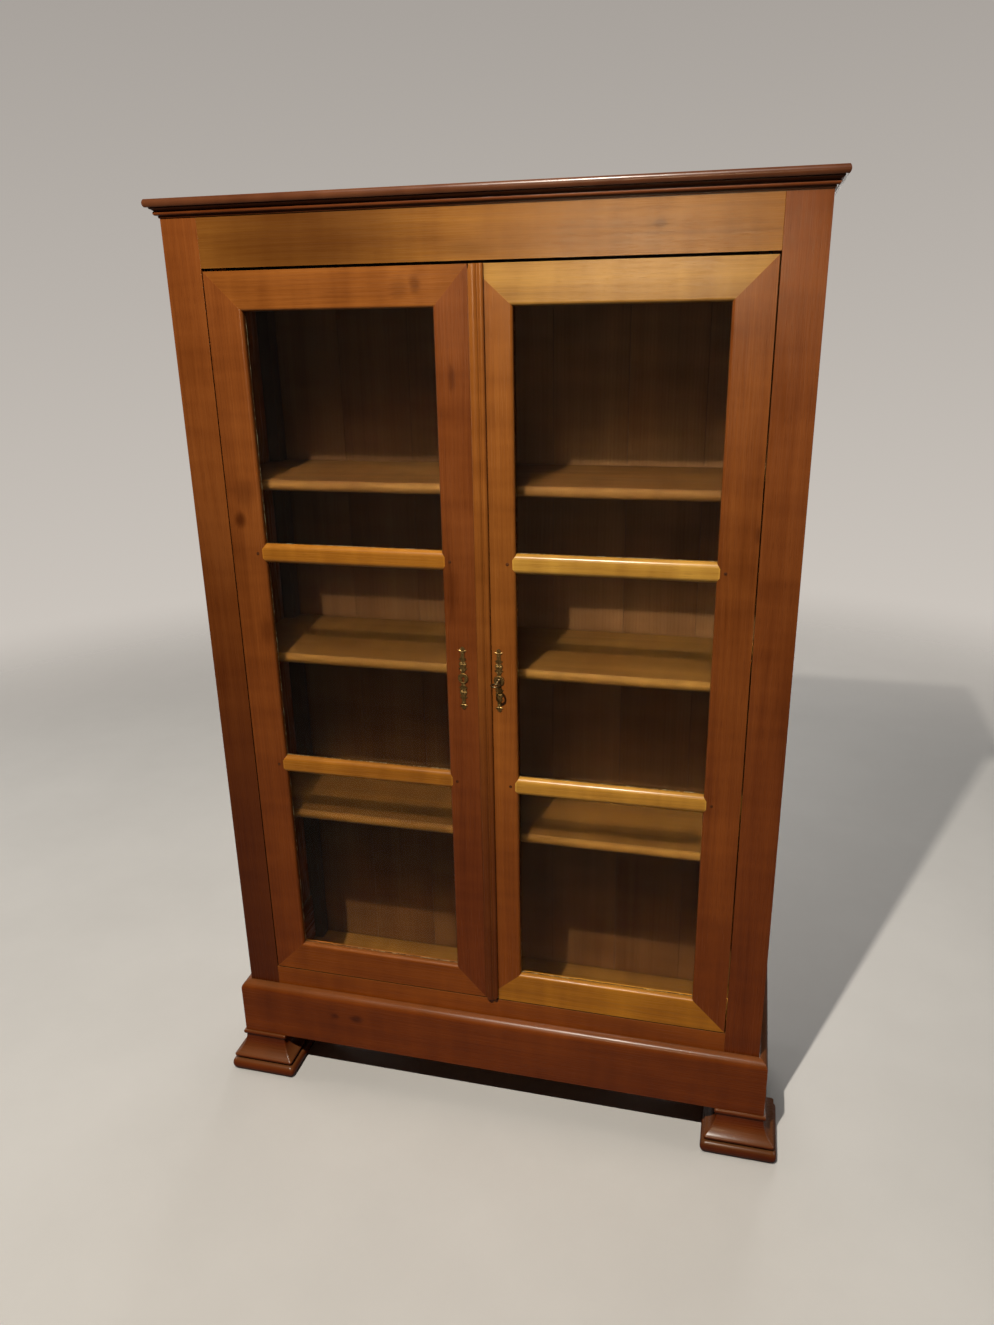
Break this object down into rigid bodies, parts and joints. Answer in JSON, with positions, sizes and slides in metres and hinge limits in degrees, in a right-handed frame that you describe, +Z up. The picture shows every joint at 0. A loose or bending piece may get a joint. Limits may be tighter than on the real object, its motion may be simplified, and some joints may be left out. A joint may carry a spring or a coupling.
{
  "type": "glazed bookcase",
  "caption": "Tall cherry bookcase with glazed double doors on hidden pivots, a key lock, slide bolts, shelves, a thin cornice and a plinth on moulded feet.",
  "frame": {"origin": "on the floor, under the middle of the whole piece's plan box", "axes": "+Z up, -Y towards the front (the doors), +X towards the leaf with the lock"},
  "size_m": [1.216, 0.378, 1.838],
  "materials": {
    "cherry": "waxed cherry, satin",
    "shelf_wood": "cherry, dull wax",
    "inner_wood": "dry softwood, matt",
    "glass": "clear old sheet",
    "putty": "dry chalk putty, matt",
    "brass": "aged, stamped relief",
    "iron": "dark, worn"
  },
  "bodies": {
    "carcass": {"frieze_rail": "cherry", "sill_rail": "cherry", "front_post_left": "cherry", "front_post_right": "cherry", "rear_post_left": "inner_wood", "rear_post_right": "inner_wood", "back_rails": "inner_wood", "back_boards": "inner_wood", "side_top_rail_left": "cherry", "side_top_rail_right": "cherry", "side_bottom_rail_left": "cherry", "side_bottom_rail_right": "cherry", "side_panel_left": "cherry", "side_panel_right": "cherry", "floor_board": "inner_wood", "floor_bearers": "inner_wood", "top_door_stop": "inner_wood", "bottom_door_stop": "inner_wood", "shelf_lower": "shelf_wood", "shelf_middle": "shelf_wood", "shelf_upper": "shelf_wood", "shelf_cleats": "inner_wood", "cornice_cap": "cherry", "cornice_cove_front": "cherry", "cornice_cove_left": "cherry", "cornice_cove_right": "cherry", "plinth_front": "cherry", "plinth_left": "cherry", "plinth_right": "cherry", "foot_front_left": "cherry", "foot_front_right": "cherry", "rear_feet": "inner_wood", "pivot_sockets": "iron"},
    "left_door": {"left_hinge_stile": "cherry", "left_meeting_stile": "cherry", "left_top_rail": "cherry", "left_bottom_rail": "cherry", "left_bar_lower": "cherry", "left_bar_upper": "cherry", "left_panes": "glass", "left_putty": "putty", "left_escutcheon": "brass", "left_pivots": "iron", "left_bolt_plates": "iron"},
    "left_top_bolt": {"left_top_bolt": "iron"},
    "left_bottom_bolt": {"left_bottom_bolt": "iron"},
    "right_door": {"right_hinge_stile": "cherry", "right_meeting_stile": "cherry", "right_top_rail": "cherry", "right_bottom_rail": "cherry", "right_bar_lower": "cherry", "right_bar_upper": "cherry", "right_panes": "glass", "right_putty": "putty", "right_escutcheon": "brass", "right_pivots": "iron", "cover_strip": "cherry", "lock_case": "iron"},
    "lock_bolt": {"lock_bolt": "iron"},
    "key": {"key": "iron"}
  },
  "joints": [
    {"name": "left_door_swing", "type": "hinge", "parent": "carcass", "child": "left_door", "pos_m": [-0.4745, -0.134, 0.9955], "axis": [0, 0, -1], "range_deg": [0, 120]},
    {"name": "right_door_swing", "type": "hinge", "parent": "carcass", "child": "right_door", "pos_m": [0.4745, -0.134, 0.9955], "axis": [0, 0, 1], "range_deg": [0, 120]},
    {"name": "key_turn", "type": "hinge", "parent": "right_door", "child": "key", "pos_m": [0.035, -0.127, 0.993], "axis": [0, -1, 0], "range_deg": [0, 180]},
    {"name": "lock_bolt_throw", "type": "slide", "parent": "right_door", "child": "lock_bolt", "axis": [-1, 0, 0], "range_m": [0, 0.01]},
    {"name": "left_top_bolt_slide", "type": "slide", "parent": "left_door", "child": "left_top_bolt", "axis": [0, 0, 1], "range_m": [0, 0.018]},
    {"name": "left_bottom_bolt_slide", "type": "slide", "parent": "left_door", "child": "left_bottom_bolt", "axis": [0, 0, -1], "range_m": [0, 0.018]}
  ],
  "couplings": [
    {"joint": "key_turn", "follows": "lock_bolt_throw", "rad_per_m": 314.16}
  ]
}
